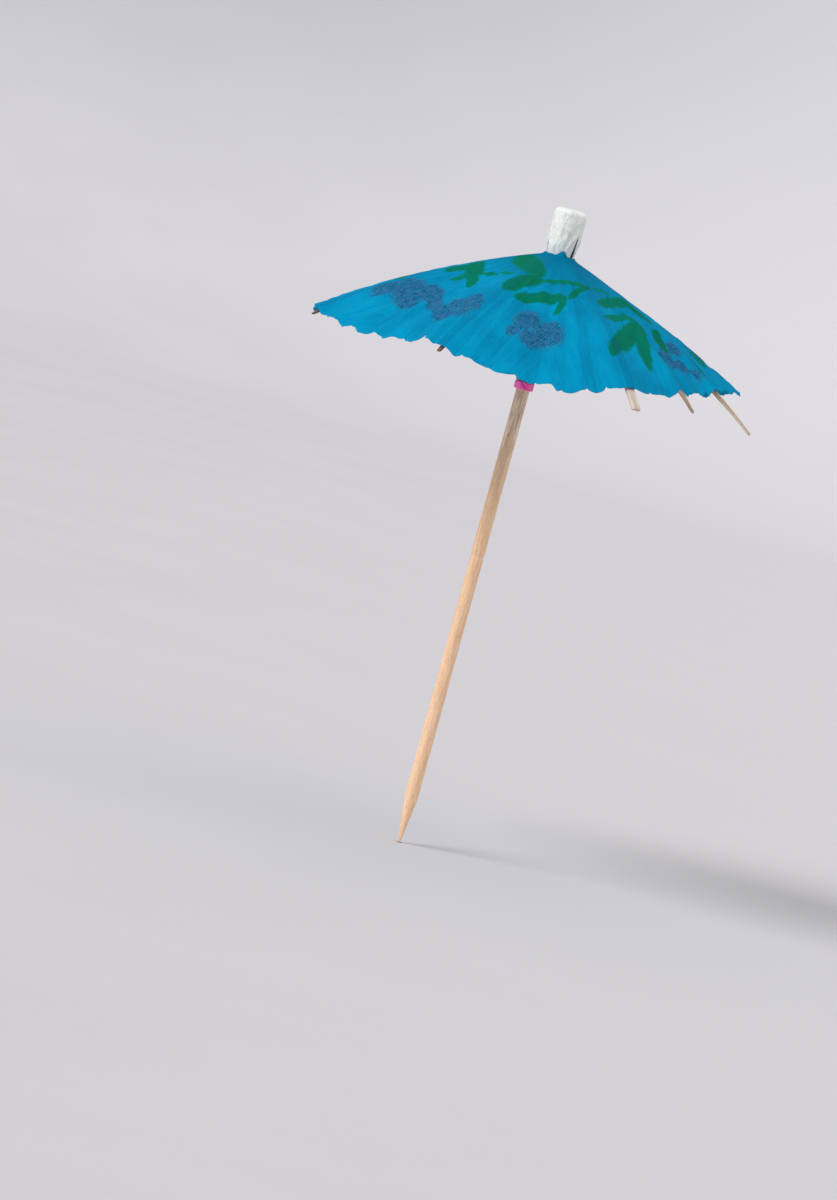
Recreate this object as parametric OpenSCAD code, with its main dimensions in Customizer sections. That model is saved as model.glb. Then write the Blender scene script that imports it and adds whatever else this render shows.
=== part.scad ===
// Paper cocktail umbrella on a wooden pick, shown open.
// Z runs up the pick. The origin is on the pick's axis, at the shoulder of its point.

/* [Pick] */
// Height of the ribs' hinges above the shoulder of the point
hinge_z = 89.2; // [80:0.1:105]
// Diameter of the pick where the runner slides
pick_d = 2.2; // [1.8:0.05:2.6]
// Length of the plain lower stretch that is held or stuck in, up to the scored ring
grip_l = 40; // [20:0.5:41]
// Width of the ring scored round the pick
score_w = 0.8; // [0.5:0.05:1.4]
// Depth of the ring scored round the pick
score_d = 0.2; // [0.16:0.01:0.3]
// Length of the sharpened point
point_l = 7; // [4:0.5:12]
// Diameter of the blunt tip
tip_d = 0.4; // [0.2:0.05:0.8]
// Height of the pick's top end above the ribs' hinges
head_l = 6; // [4:0.1:7]

/* [Hubs] */
// Wall of the crown hub between the pick and the rib ends
core_wall = 0.4; // [0.3:0.05:0.6]
// How far a hub's rim stands out past the hinges
hub_lip = 0.3; // [0.2:0.02:0.4]
// How far a hub reaches below its hinges
hub_skirt = 1.1; // [0.8:0.05:1.6]
// How much narrower the crown's neck is than its rim
neck_step = 0.6; // [0.45:0.05:0.7]
// Height of the crown's neck above its rim
neck_l = 2.6; // [1.5:0.1:3.5]
// Diameter of the thread
thread_d = 0.18; // [0.12:0.01:0.22]

/* [Ribs] */
// Straight distance from a rib's hinge to its tip
rib_l = 39.5; // [34:0.1:46]
// Width of a rib
rib_w = 1.6; // [1.3:0.05:1.8]
// Thickness of a rib
rib_t = 0.7; // [0.6:0.05:0.8]
// How far a rib's middle bows up from the straight line
rib_bow = 1.5; // [0.8:0.1:2]
// Slope of the straight line from a rib's hinge to its tip, in degrees below level
rib_slope = 27.9; // [24:0.1:32]
// Direction of the first rib, in degrees round the pick
first_rib = -10.2; // [-25:0.1:25]
// Width of the narrow ends of the ribs and struts
tongue_w = 0.6; // [0.45:0.05:0.65]

/* [Struts] */
// Length of a strut between its two hinges
strut_l = 16; // [13:0.1:17]
// Width of a strut
strut_w = 1.4; // [1:0.05:1.6]
// Thickness of a strut
strut_t = 0.5; // [0.4:0.02:0.54]
// Lean of the struts from the pick when the umbrella is folded, in degrees
folded_lean = 8; // [8:0.5:12]
// Diameter of the thread pins that join the struts to the ribs
strut_pin_d = 0.24; // [0.18:0.01:0.26]

/* [Canopy] */
// Largest distance from the pick's axis to the paper's edge
canopy_r = 36.2; // [31:0.1:41]
// Thickness that the thin paper is given
paper_t = 0.2; // [0.15:0.01:0.3]
// Depth of the cut waves along the paper's edge
scallop_d = 0.9; // [0.4:0.1:1.4]

/* [Cap] */
// Height of the cap
cap_h = 7.7; // [7.5:0.1:10]
// Wall of the cap
cap_t = 0.2; // [0.15:0.01:0.4]
// How much further out the cap stands at its top than at its foot
cap_flare = 0.4; // [0.2:0.05:0.9]
// Radius of the cap's top edge
cap_edge_r = 0.9; // [0.6:0.1:1.4]
// Height of the gathered paper inside the cap
collar_h = 2.2; // [1.2:0.1:2.6]

/* [Runner and ring] */
// Length of the rolled paper sleeve under the runner hub
sleeve_l = 6.4; // [3:0.1:8]
// Wall of the sleeve
sleeve_t = 0.5; // [0.2:0.01:0.52]
// Height of the plastic ring
ring_h = 1.3; // [1:0.1:2.5]
// Wall of the plastic ring
ring_t = 0.42; // [0.2:0.01:0.5]

/* [Hidden] */
$fn = 64;
rib_count = 7;
gore_rows = 7;
scallops = 6;

// Clearances
run_gap = 0.05;
seat_gap = 0.03;
slot_gap = 0.075;
eye_gap = 0.06;
pin_gap = 0.03;
tongue_gap = 0.12;
eye_swell = 0.03;
strut_gap = 0.07;
fold_gap = 0.1;
shoulder_gap = 0.5;
paper_gap = 0.2;
crease_gap = 0.04;
cap_gap = 0.07;
overrun = 0.5;

// How far the paper reaches along each rib, as a share of canopy_r
reach_shares = [0.84, 0.92, 0.965, 1, 1, 0.99, 0.94];
// How much the edge draws in midway between each rib and the next, as a share of its reach
edge_draw_shares = [-0.13, 0.024, 0.024, 0.024, 0.024, 0.024, 0.024];
// How far the paper stands up midway between each rib and the next, as a share of canopy_r
billow_shares = [0.17, 0.05, 0.04, 0.055, 0, 0, 0.067];
// How much further out the knots of the strut pins stand than their shafts, as a share
knot_share = 1.7;
// Rounding of the ring's outer edges, as a share of its wall
ring_fillet_share = 0.45;

// The pick, the hubs and the circle of hinges
pick_r = pick_d / 2;
core_r = pick_r + core_wall;
rib_eye_r = rib_t / 2 + eye_swell;
hinge_r = core_r + tongue_gap + rib_eye_r;
hub_r = hinge_r + hub_lip;
neck_r = hub_r - neck_step;
thread_r = thread_d / 2;
eye_r = thread_r + eye_gap;
slot_w = tongue_w + 2 * slot_gap;
groove_h = thread_d + 2 * slot_gap;

// The ribs' arc, in the upright plane of a rib: x runs out from the pick's axis and y runs up
bow_r = rib_l * rib_l / (8 * rib_bow) + rib_bow / 2;
half_arc = asin(rib_l / 2 / bow_r);
rib_end_angle = 90 - rib_slope - half_arc;
rib_root_angle = 90 - rib_slope + half_arc;
arc_x = hinge_r - bow_r * cos(rib_root_angle);
arc_z = hinge_z - bow_r * sin(rib_root_angle);
rib_tongue_l = hub_skirt + shoulder_gap;

// The pivot of a strut on its rib, and the struts' lean from the pick when open
pivot_angle = rib_root_angle - 2 * asin(strut_l / 2 / bow_r);
pivot_x = arc_x + bow_r * cos(pivot_angle);
pivot_z = arc_z + bow_r * sin(pivot_angle);
open_lean = atan2(pivot_x - hinge_r, hinge_z - pivot_z);
fold = open_lean - folded_lean;
runner_z = hinge_z - 2 * strut_l * cos(open_lean);
strut_pin_r = strut_pin_d / 2;
strut_eye_r = strut_pin_r + pin_gap;

// A folded strut lies in its rib's slot as far as the two are closer than this
folded_apart = (rib_t + strut_t) / 2 + fold_gap;
folded_angle = folded_lean + pivot_angle - fold;
strut_tongue_l = bow_r * (sin(folded_angle) - sqrt(pow(sin(folded_angle), 2) - 2 * folded_apart / bow_r));
rib_slot_out = strut_tongue_l + fold_gap;
rib_slot_in = rib_t + shoulder_gap / 2;
strut_root_l = hub_skirt + shoulder_gap;

// The runner hub, sleeve and ring
runner_bore_r = pick_r + run_gap;
runner_groove_r = hinge_r - strut_t / 2 - strut_gap - thread_d;
sleeve_top = runner_z - hub_skirt - seat_gap;
ring_top = sleeve_top - sleeve_l - run_gap;
ring_fillet = ring_t * ring_fillet_share;

// The crown's collar and the cap
rim_top = hinge_z + rib_eye_r;
collar_z = rim_top + run_gap;
collar_t = paper_t;
collar_r = neck_r + run_gap + collar_t;
cap_z = collar_z + collar_t + run_gap;
cap_foot_r = collar_r + cap_gap + cap_t;

// The paper over the ribs
paper_r = bow_r + rib_t / 2 + paper_gap;
half_gore = 180 / rib_count;
gore_in_r = hub_r + crease_gap * 2;
gore_cells = 2 * scallops;

// Turns a piece drawn in the plane of azimuth 0 to the place of rib k
module at_rib(k) {
    rotate([0, 0, first_rib + (k - 1) * 360 / rib_count]) children();
}

// Round wooden pick with a sharpened point below and a scored ring above its grip
module pick() {
    scored_r = pick_r - score_d;
    head_z = hinge_z + head_l;
    color("burlywood")
        rotate_extrude()
            polygon([[0, -point_l], [tip_d / 2, -point_l], [pick_r, 0], [pick_r, grip_l],
                [scored_r, grip_l], [scored_r, grip_l + score_w], [pick_r, grip_l + score_w],
                [pick_r, head_z], [0, head_z]]);
}

// Half outline of the cap's outside, grown inwards by d
module cap_outline(d) {
    top_r = cap_foot_r + cap_flare - d;
    edge = cap_edge_r - d;
    foot_r = cap_foot_r - d;
    height = cap_h - d;
    polygon([[0, 0], [foot_r, 0], [top_r, height - edge], [top_r - edge, height - edge],
        [top_r - edge, height], [0, height]]);
    translate([top_r - edge, height - edge])
        intersection() {
            circle(r = edge);
            square(edge);
        }
}

// White paper cap, open below
module cap() {
    color("whitesmoke")
        translate([0, 0, cap_z])
            rotate_extrude()
                difference() {
                    cap_outline(0);
                    cap_outline(cap_t);
                }
}

// The middle of the paper, gathered up round the crown's neck
module canopy_collar() {
    color("deepskyblue")
        translate([0, 0, collar_z])
            rotate_extrude() {
                translate([neck_r + run_gap, 0]) square([collar_t, collar_h]);
                translate([neck_r + run_gap, 0]) square([hub_r - neck_r, collar_t]);
            }
}

// Seven slots for the narrow ends of ribs or struts, from the core outwards
module hub_slots(inner_r, low, high) {
    for (k = [1:rib_count])
        at_rib(k)
            translate([inner_r, -slot_w / 2, low])
                cube([hub_r - inner_r + overrun, slot_w, high - low]);
}

// Groove for the thread ring
module hub_groove(inner_r, z) {
    translate([0, 0, z - groove_h / 2])
        difference() {
            cylinder(h = groove_h, r = hub_r + overrun);
            cylinder(h = groove_h, r = inner_r);
        }
}

// Slotted hub that is glued on the pick and holds the ribs
module crown_hub() {
    color("tan")
        difference() {
            union() {
                translate([0, 0, hinge_z - hub_skirt])
                    cylinder(h = rim_top - hinge_z + hub_skirt, r = hub_r);
                translate([0, 0, hinge_z])
                    cylinder(h = rim_top - hinge_z + neck_l, r = neck_r);
            }
            translate([0, 0, hinge_z - hub_skirt - overrun])
                cylinder(h = neck_l + hub_skirt + rib_t + 2 * overrun, r = pick_r + seat_gap);
            hub_slots(core_r, hinge_z - hub_skirt - overrun, rim_top + slot_gap);
            hub_groove(hinge_r - thread_r, hinge_z);
        }
}

// Ring of thread through a hub's groove
module thread_ring(ring_r, z) {
    color("ivory")
        translate([0, 0, z])
            rotate_extrude()
                translate([ring_r, 0]) circle(r = thread_r);
}

// The thread that the ribs turn on
module crown_thread() {
    thread_ring(hinge_r, hinge_z);
}

// The thread round the runner hub
module runner_thread() {
    thread_ring(runner_groove_r + thread_r, runner_z);
}

// The bowed strip of a rib, from its tip to its hinge
module rib_strip() {
    translate([arc_x, 0, arc_z])
        rotate([90, 0, 0])
            rotate([0, 0, rib_end_angle])
                rotate_extrude(angle = 2 * half_arc, $fn = 180)
                    translate([bow_r - rib_t / 2, -rib_w / 2]) square([rib_t, rib_w]);
}

// A round bar across the rib, centred on a point of its upright plane
module cross_bar(x, z, r, w) {
    translate([x, w / 2, z]) rotate([90, 0, 0]) cylinder(h = w, r = r);
}

// Flat bowed rib with a narrow eye at the crown and a slot for its strut
module rib(k) {
    color("peru")
        at_rib(k)
            difference() {
                union() {
                    rib_strip();
                    cross_bar(hinge_r, hinge_z, rib_eye_r, rib_w);
                }
                for (side = [-1, 1])
                    translate([hinge_r, side * (tongue_w + rib_w) / 2, hinge_z])
                        rotate([0, 90 - rib_root_angle, 0])
                            cube([2 * rib_tongue_l, rib_w, 4 * rib_t], center = true);
                cross_bar(hinge_r, hinge_z, eye_r, tongue_w + overrun);
                cross_bar(pivot_x, pivot_z, strut_pin_r + seat_gap, rib_w + overrun);
                translate([pivot_x, 0, pivot_z])
                    rotate([0, 90 - pivot_angle, 0])
                        translate([-rib_slot_in, -slot_w / 2, -rib_t])
                            cube([rib_slot_in + rib_slot_out, slot_w, 2 * rib_t]);
            }
}

// Knotted thread pin through the rib's slot and the strut's eye
module strut_pin(k) {
    knot_r = strut_pin_r * knot_share;
    color("ivory")
        at_rib(k) {
            cross_bar(pivot_x, pivot_z, strut_pin_r, rib_w + 2 * seat_gap);
            for (side = [-1, 1])
                translate([0, side * (rib_w / 2 + seat_gap + strut_pin_r / 2), 0])
                    cross_bar(pivot_x, pivot_z, knot_r, strut_pin_r);
        }
}

// Flat strut: an eye on the rib's pin, and an open rounded end in the runner hub's slot
module strut(k) {
    color("peru")
        at_rib(k)
            translate([pivot_x, 0, pivot_z])
                rotate([0, open_lean - 90, 0])
                    difference() {
                        union() {
                            translate([-strut_l, -tongue_w / 2, -strut_t / 2])
                                cube([strut_l, tongue_w, strut_t]);
                            translate([strut_root_l - strut_l, -strut_w / 2, -strut_t / 2])
                                cube([strut_l - strut_root_l - strut_tongue_l, strut_w, strut_t]);
                            cross_bar(0, 0, strut_t / 2 + seat_gap, tongue_w);
                            cross_bar(-strut_l, 0, strut_t / 2, tongue_w);
                        }
                        cross_bar(0, 0, strut_eye_r, tongue_w + overrun);
                    }
}

// The gap between two ribs that t lies in, from -1 to 1 across gore k, counted from 0
function gap_beside(k, t) = (k - 1 + (t > 0 ? 0 : rib_count - 1)) % rib_count;

// How far out the paper reaches at t, from -1 to 1 across gore k
function edge_r(k, t) =
    let (
        own = reach_shares[k - 1],
        next = reach_shares[(k - 1 + (t > 0 ? 1 : rib_count - 1)) % rib_count],
        part = (1 - cos(abs(t) * 90)) / 2,
        drawn = 1 - edge_draw_shares[gap_beside(k, t)] * (1 - pow(1 - abs(t), 2))
    )
    canopy_r * (own + (next - own) * part) * drawn;

// How far the paper stands up at radius r and t, from -1 to 1 across gore k
function billow(k, r, t) =
    canopy_r * billow_shares[gap_beside(k, t)] * pow(r / canopy_r, 2) * pow(sin(t * 90), 2);

// Height of the paper's underside at radius r and angle a from the rib, flat between ribs
function paper_z(r, a) =
    let (
        beside = max(0, abs(a) - asin((rib_w / 2 + crease_gap) / r)),
        along = r * cos(half_gore - beside) / cos(half_gore)
    )
    arc_z + sqrt(pow(paper_r, 2) - pow(along - arc_x, 2));

// A point of gore k: row i out from the crown, column j across, lifted by h
function gore_point(k, i, j, h) =
    let (
        t = 2 * j / gore_cells - 1,
        cut = i == gore_rows && j % 2 == 0 ? scallop_d : 0,
        r = gore_in_r + (edge_r(k, t) - gore_in_r) * i / gore_rows - cut,
        a = t * (half_gore - asin(crease_gap / r))
    )
    [r * cos(a), r * sin(a), paper_z(r, a) + billow(k, r, t) + h];

// Two triangles between four points
function quad(a, b, c, d) = [[a, b, c], [a, c, d]];

// One gore of the paper canopy, creased over its rib and scalloped at its edge
module canopy_gore(k) {
    n = gore_cells + 1;
    layer = n * (gore_rows + 1);
    points = [
        for (h = [0, paper_t]) for (i = [0:gore_rows]) for (j = [0:gore_cells])
            gore_point(k, i, j, h)
    ];
    sheet_faces = [
        for (i = [0:gore_rows - 1]) for (j = [0:gore_cells - 1])
            let (p = i * n + j, q = p + layer)
            each concat(quad(p, p + n, p + n + 1, p + 1), quad(q, q + 1, q + n + 1, q + n))
    ];
    side_faces = [
        for (i = [0:gore_rows - 1])
            let (p = i * n, q = p + gore_cells)
            each concat(
                quad(p, p + layer, p + layer + n, p + n),
                quad(q, q + n, q + n + layer, q + layer)
            )
    ];
    end_faces = [
        for (j = [0:gore_cells - 1])
            let (p = j, q = gore_rows * n + j)
            each concat(
                quad(p, p + 1, p + 1 + layer, p + layer),
                quad(q, q + layer, q + layer + 1, q + 1)
            )
    ];
    color("deepskyblue")
        at_rib(k)
            polyhedron(points, concat(sheet_faces, side_faces, end_faces));
}

// Slotted hub that slides on the pick and carries the struts' inner ends
module runner_hub() {
    color("tan")
        difference() {
            translate([0, 0, runner_z - hub_skirt]) cylinder(h = 2 * hub_skirt, r = hub_r);
            translate([0, 0, runner_z - hub_skirt - overrun])
                cylinder(h = 2 * (hub_skirt + overrun), r = runner_bore_r);
            hub_slots(runner_groove_r, runner_z - hub_skirt - overrun, runner_z + hub_skirt + overrun);
            hub_groove(runner_groove_r, runner_z);
        }
}

// Rolled paper spacer between the runner hub and the ring
module paper_sleeve() {
    color("darkkhaki")
        translate([0, 0, sleeve_top - sleeve_l])
            difference() {
                cylinder(h = sleeve_l, r = runner_bore_r + sleeve_t);
                translate([0, 0, -overrun])
                    cylinder(h = sleeve_l + 2 * overrun, r = runner_bore_r);
            }
}

// Soft plastic ring that grips the pick and holds the umbrella open
module stop_ring() {
    color("hotpink")
        translate([0, 0, ring_top - ring_h])
            rotate_extrude() {
                translate([runner_bore_r, 0]) square([ring_t - ring_fillet, ring_h]);
                translate([runner_bore_r, ring_fillet]) square([ring_t, ring_h - 2 * ring_fillet]);
                for (z = [ring_fillet, ring_h - ring_fillet])
                    translate([runner_bore_r + ring_t - ring_fillet, z]) circle(r = ring_fillet);
            }
}

pick();
cap();
canopy_collar();
crown_hub();
crown_thread();
for (k = [1:rib_count]) {
    rib(k);
    canopy_gore(k);
    strut(k);
    strut_pin(k);
}
runner_hub();
runner_thread();
paper_sleeve();
stop_ring();
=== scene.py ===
"""Paper cocktail umbrella on a wooden pick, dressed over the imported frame.

Sizes are in millimetres and angles in radians, except where a comment or a shader's socket says otherwise.
Ribs, and the gaps between a rib and the next, are counted from 0 here and from 1 in names.
"""
import math
import random

import bpy
import numpy as np
from mathutils import Matrix, Vector, noise


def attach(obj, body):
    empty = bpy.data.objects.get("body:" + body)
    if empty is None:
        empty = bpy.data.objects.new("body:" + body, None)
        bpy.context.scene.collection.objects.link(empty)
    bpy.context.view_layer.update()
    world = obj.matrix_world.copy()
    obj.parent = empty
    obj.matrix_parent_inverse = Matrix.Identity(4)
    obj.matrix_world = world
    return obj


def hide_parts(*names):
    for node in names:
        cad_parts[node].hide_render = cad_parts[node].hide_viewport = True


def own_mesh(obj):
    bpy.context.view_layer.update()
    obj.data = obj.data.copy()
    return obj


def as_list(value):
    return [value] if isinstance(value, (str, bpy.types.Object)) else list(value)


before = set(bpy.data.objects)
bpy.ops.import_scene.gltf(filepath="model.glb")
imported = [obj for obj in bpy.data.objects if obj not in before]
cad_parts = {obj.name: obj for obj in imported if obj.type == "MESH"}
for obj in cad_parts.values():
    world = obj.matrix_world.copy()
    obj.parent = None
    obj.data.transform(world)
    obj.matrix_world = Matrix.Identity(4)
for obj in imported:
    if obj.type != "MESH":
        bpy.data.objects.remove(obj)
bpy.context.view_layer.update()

MM = 0.001
RIBS = 7
FIRST_RIB = math.radians(-10.2)
HALF_GORE = math.pi / RIBS
HINGE_Z, HINGE_R = 89.2, 2.0
PICK_R, PICK_TOP = 1.1, 95.2
POINT_L, POINT_R = 7.0, 0.2
# The shallow ring scored round the pick: height of its middle, half width and depth
SCORE_Z, SCORE_W, SCORE_D = 40.4, 0.45, 0.12

# The ribs' arc: its radius, the angle of its root and its centre, in the plane of rib 0
RIB_L, RIB_BOW, RIB_SLOPE = 39.5, 1.5, 27.9
BOW_R = RIB_L**2 / (8 * RIB_BOW) + RIB_BOW / 2
RIB_ROOT = math.radians(90 - RIB_SLOPE) + math.asin(RIB_L / 2 / BOW_R)
ARC_X = HINGE_R - BOW_R * math.cos(RIB_ROOT)
ARC_Z = HINGE_Z - BOW_R * math.sin(RIB_ROOT)
RIB_W, RIB_T = 1.6, 0.7

# The struts: their length between the hinges, and where the outer hinge and the runner stand when open
STRUT_L = 16.0
PIVOT = RIB_ROOT - 2 * math.asin(STRUT_L / 2 / BOW_R)
PIVOT_X, PIVOT_Z = ARC_X + BOW_R * math.cos(PIVOT), ARC_Z + BOW_R * math.sin(PIVOT)
OPEN_LEAN, FOLDED_LEAN = math.atan2(PIVOT_X - HINGE_R, HINGE_Z - PIVOT_Z), math.radians(8)
RUNNER_Z = HINGE_Z - 2 * STRUT_L * math.cos(OPEN_LEAN)


# ---- camera
def aimed_camera(place, aims, size):
    """A camera at place that sees each point of aims at its pixel, in an image of the given size."""
    def unit(v):
        return v / np.linalg.norm(v)

    def basis(a, b):
        e1, e3 = unit(a), unit(np.cross(a, b))
        return np.array([e1, np.cross(e3, e1), e3]).T

    width, height = size
    rays = [unit(np.array(p) - place) for p, _ in aims]
    angle = math.acos(rays[0] @ rays[1])
    low, high = 500.0, 20000.0
    for _ in range(80):
        focal = (low + high) / 2
        seen = [unit(np.array([x - width / 2, height / 2 - y, -focal])) for _, (x, y) in aims]
        if math.acos(seen[0] @ seen[1]) > angle:
            low = focal
        else:
            high = focal
    turn = Matrix((basis(*rays) @ basis(*seen).T).tolist())
    data = bpy.data.cameras.new("camera")
    data.sensor_fit, data.sensor_height = "VERTICAL", 36
    data.lens = focal * data.sensor_height / height
    data.clip_start, data.clip_end = 0.01, 20
    camera = bpy.data.objects.new("camera", data)
    camera.matrix_world = Matrix.Translation(Vector(place) * MM) @ turn.to_4x4()
    bpy.context.collection.objects.link(camera)
    bpy.context.scene.camera = camera


IMAGE_SIZE = (837, 1200)
CAM_FAR, CAM_UP, CAM_Z = 900, math.radians(1.5), 78
# Two points of the pick's axis and the pixels that they fall on
AIMS = (((0, 0, 68.55), (524, 386)), ((0, 0, 97.3), (572, 211)))
aimed_camera(np.array([0, -CAM_FAR * math.cos(CAM_UP), CAM_Z + CAM_FAR * math.sin(CAM_UP)]), AIMS, IMAGE_SIZE)


# ---- mesh tools
def plain_object(name, points, faces):
    """An object in metres from points in millimetres."""
    mesh = bpy.data.meshes.new(name)
    mesh.from_pydata((np.asarray(points, float) * MM).tolist(), [], [tuple(f) for f in faces])
    obj = bpy.data.objects.new(name, mesh)
    bpy.context.collection.objects.link(obj)
    return obj


def new_object(name, points, faces, mats, body, slot, face_mats=None, uvs=None, sharp=55):
    """A piece on a body. uvs maps a layer's name to one (u, v) per point; edges over sharp degrees stay sharp."""
    obj = plain_object(name, points, faces)
    mesh = obj.data
    for mat in mats:
        mesh.materials.append(mat)
    if face_mats is not None:
        mesh.polygons.foreach_set("material_index", np.asarray(face_mats, np.int32))
    if uvs:
        corner = np.empty(len(mesh.loops), np.int32)
        mesh.loops.foreach_get("vertex_index", corner)
        for layer, uv in uvs.items():
            data = mesh.uv_layers.new(name=layer).data
            data.foreach_set("uv", np.asarray(uv, np.float32)[corner].ravel())
    mesh.polygons.foreach_set("use_smooth", np.ones(len(mesh.polygons), bool))
    mesh.set_sharp_from_angle(angle=math.radians(sharp))
    mesh.validate()
    mesh.update()
    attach(obj, body)
    return obj


def grid_faces(rows, cols, wrap=False, start=0, flip=False):
    """Quads between rows of points; wrap joins the last column to the first."""
    faces = []
    for i in range(rows - 1):
        for j in range(cols if wrap else cols - 1):
            k = (j + 1) % cols
            a, b = start + i * cols + j, start + i * cols + k
            c, d = b + cols, a + cols
            faces.append((a, d, c, b) if flip else (a, b, c, d))
    return faces


def lathe(rows, close="caps"):
    """Points and faces of a round body from rows of ring points; close is caps or loop."""
    rows = np.asarray(rows, float)
    count, cols = rows.shape[:2]
    points, faces = rows.reshape(-1, 3), grid_faces(count, cols, wrap=True)
    low, last = count * cols, (count - 1) * cols
    ring = [(j, (j + 1) % cols) for j in range(cols)]
    if close == "loop":
        return points, faces + [(last + i, last + j, j, i) for i, j in ring]
    faces += [(low, j, i) for i, j in ring] + [(low + 1, last + i, last + j) for i, j in ring]
    return np.vstack([points, rows[0].mean(axis=0), rows[-1].mean(axis=0)]), faces


def circle(count):
    """Angles of evenly spaced columns round an axis."""
    return np.arange(count) * 2 * math.pi / count


def polar(r, a, z):
    """Points at radius r, angle a and height z about the pick's axis."""
    return np.stack(np.broadcast_arrays(r * np.cos(a), r * np.sin(a), z), axis=-1)


def crossways(x, y, z, r, a):
    """Points at radius r and angle a about the line across rib 0 through x and z, at y to its side."""
    return np.stack(np.broadcast_arrays(x + r * np.cos(a), y, z - r * np.sin(a)), axis=-1)


def squared_off(a, power):
    """Across and up at each angle of a square of half size 1 with rounded corners, squarer with a higher power."""
    c, s = np.cos(a), np.sin(a)
    scale = (np.abs(c) ** power + np.abs(s) ** power) ** (-1 / power)
    return c * scale, s * scale


def rough(p, scale, seed=0):
    """Smooth noise from -1 to 1 at each point, in lumps of about scale millimetres."""
    return np.array([noise.noise(Vector((x / scale + seed, y / scale - seed, z / scale + 2 * seed))) for x, y, z in p])


def crumple(p, scale, seed=0):
    """Creased noise at each point: flat facets that meet in sharp folds."""
    return 1 - 2 * np.abs(rough(p, scale, seed))


def smooth(x):
    x = np.clip(x, 0, 1)
    return x * x * (3 - 2 * x)


def angle_from(centre, a):
    """How far each angle is past centre, from -pi to pi."""
    return (a - centre + math.pi) % (2 * math.pi) - math.pi


def near(centre, width, a):
    """1 at the angle centre, falling to 0 at width from it."""
    return smooth(1 - np.abs(angle_from(centre, a)) / width)


def azimuth(k):
    return FIRST_RIB + k * 2 * HALF_GORE


def turned(points, k):
    """Points of rib 0's plane, with that rib along +X, turned to rib k."""
    c, s = math.cos(azimuth(k)), math.sin(azimuth(k))
    p = np.asarray(points, float)
    return np.stack([p[..., 0] * c - p[..., 1] * s, p[..., 0] * s + p[..., 1] * c, p[..., 2]], axis=-1)


# ---- shader tools
def put(tree, kind, inputs=None, **settings):
    """A new shader node; inputs maps a socket's name or number to a value or to another node's socket."""
    n = tree.nodes.new("ShaderNode" + kind)
    for name, value in settings.items():
        setattr(n, name, value)
    for key, value in (inputs or {}).items():
        if isinstance(value, bpy.types.NodeSocket):
            tree.links.new(value, n.inputs[key])
        else:
            n.inputs[key].default_value = value
    return n


def calc(tree, operation, a, b=None, c=None, clamp=False):
    values = {i: v for i, v in enumerate((a, b, c)) if v is not None}
    return put(tree, "Math", values, operation=operation, use_clamp=clamp).outputs[0]


def times(tree, a, b):
    return calc(tree, "MULTIPLY", a, b)


def largest(tree, values):
    """The largest of several sockets at each point."""
    top, *rest = values
    for value in rest:
        top = calc(tree, "MAXIMUM", top, value)
    return top


def band(tree, value, low, high, out_low=0, out_high=1):
    """A smooth step of value from low to high."""
    sockets = {0: value, 1: low, 2: high, 3: out_low, 4: out_high}
    return put(tree, "MapRange", sockets, interpolation_type="SMOOTHSTEP").outputs[0]


def mixed(tree, share, a, b):
    return put(tree, "Mix", {0: share, 6: a, 7: b}, data_type="RGBA").outputs[2]


def tinted(tree, colour, *tints):
    """A colour turned to others one by one, each given by its display values and a smooth step as for band."""
    for rgb, *step in tints:
        colour = mixed(tree, band(tree, *step), colour, srgb(*rgb))
    return colour


def srgb(r, g, b):
    """A linear colour from 0 to 255 display values."""
    def one(v):
        v /= 255
        return v / 12.92 if v <= 0.04045 else ((v + 0.055) / 1.055) ** 2.4
    return (one(r), one(g), one(b), 1.0)


def uv_layer(tree, name):
    return put(tree, "UVMap", uv_map=name).outputs[0]


def xyz(tree, vector):
    """The three parts of a vector."""
    return put(tree, "SeparateXYZ", {0: vector}).outputs


def mapping(tree, vector, kind="POINT", **sockets):
    return put(tree, "Mapping", {"Vector": vector, **sockets}, vector_type=kind).outputs[0]


def millimetres(tree, scale=(1, 1, 1)):
    """Rest-frame coordinates in millimetres, then scaled."""
    return mapping(tree, put(tree, "TexCoord").outputs["Object"], Scale=tuple(1000 * s for s in scale))


def noise_at(tree, vector, scale, detail=3, roughness=0.5, distortion=0):
    sockets = {"Vector": vector, "Scale": scale, "Detail": detail, "Roughness": roughness, "Distortion": distortion}
    return put(tree, "TexNoise", sockets).outputs[0]


def surface(build, name=None):
    """A material with the nodes of build(tree), which returns the shader socket; named as build unless given."""
    mat = bpy.data.materials.new(name or build.__name__)
    mat.use_nodes = True
    tree = mat.node_tree
    tree.nodes.clear()
    put(tree, "OutputMaterial", {0: build(tree)})
    return mat


def glossed(tree, colour, roughness, bump, strength, distance, specular=0.5, **sockets):
    """A plain surface with a bump of distance metres; sockets names more inputs, with _ for a space."""
    relief = put(tree, "Bump", {"Height": bump, "Strength": strength, "Distance": distance}).outputs[0]
    inputs = {"Base Color": colour, "Roughness": roughness, "Normal": relief, "Specular IOR Level": specular}
    inputs.update({k.replace("_", " "): v for k, v in sockets.items()})
    return put(tree, "BsdfPrincipled", inputs).outputs[0]


def lit_through(tree, share, opaque, colour):
    """Thin paper, of whose light a share comes through."""
    through = put(tree, "BsdfTranslucent", {0: colour}).outputs[0]
    return put(tree, "MixShader", {0: share, 1: opaque, 2: through}).outputs[0]


# ---- materials
# Millimetres to one unit of the UV layers: a strip's grain, the print, and a gore's paper across and along its rib
GRAIN_SPAN, PRINT_SPAN, GORE_WIDE, GORE_LONG = 50, 80, 20, 40
# Angle of the overlap in the cap's paper
CAP_SEAM = math.radians(-36)


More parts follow.
